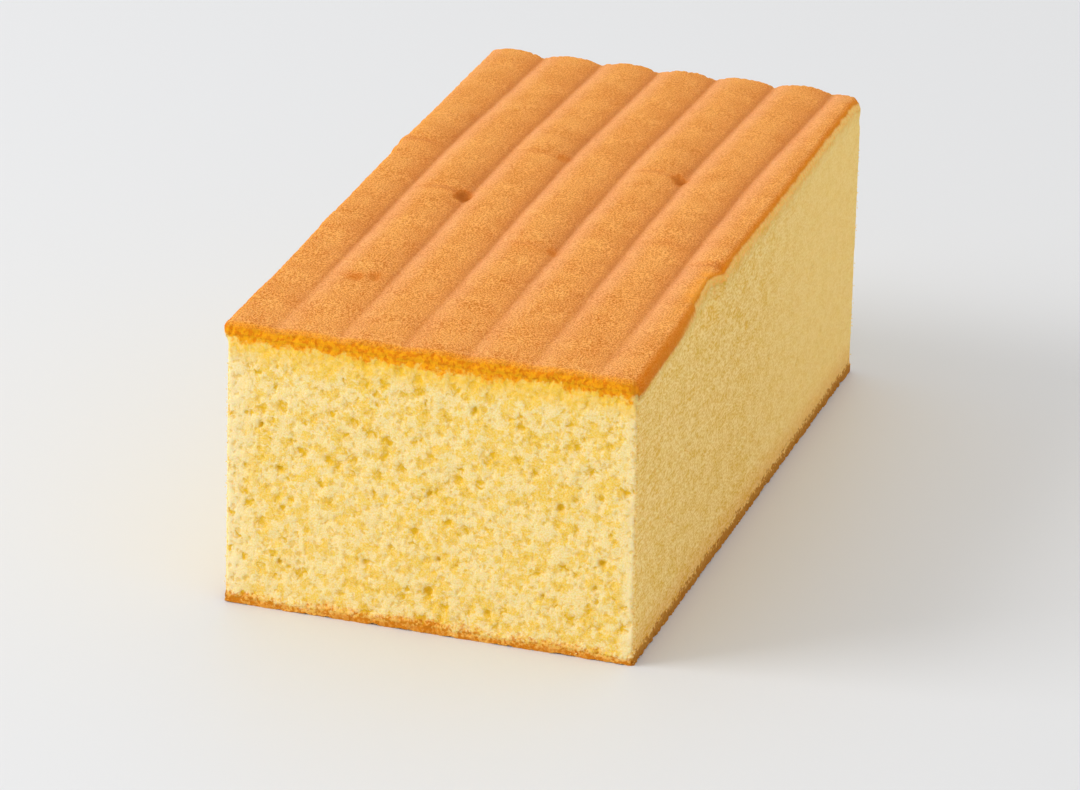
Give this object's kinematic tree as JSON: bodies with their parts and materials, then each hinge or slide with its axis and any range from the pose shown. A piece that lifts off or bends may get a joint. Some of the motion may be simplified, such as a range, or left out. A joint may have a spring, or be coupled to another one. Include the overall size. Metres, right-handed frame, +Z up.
{
  "type": "sponge cake block",
  "caption": "Cut block of plain sponge cake with a browned, ridged top, a thin browned base skin and an open yellow crumb on its four cut sides.",
  "frame": {"origin": "middle of the flat base, on the surface that the block stands on", "axes": "+X across the ridges, to the right when the front cut is seen; +Y along the ridges, away from the front cut; +Z up"},
  "size_m": [0.0802, 0.152, 0.0611],
  "materials": {
    "sponge": "matte, soft, open crumb with golden brown crust"
  },
  "bodies": {
    "root": {"sponge_cake": "sponge"}
  },
  "joints": []
}
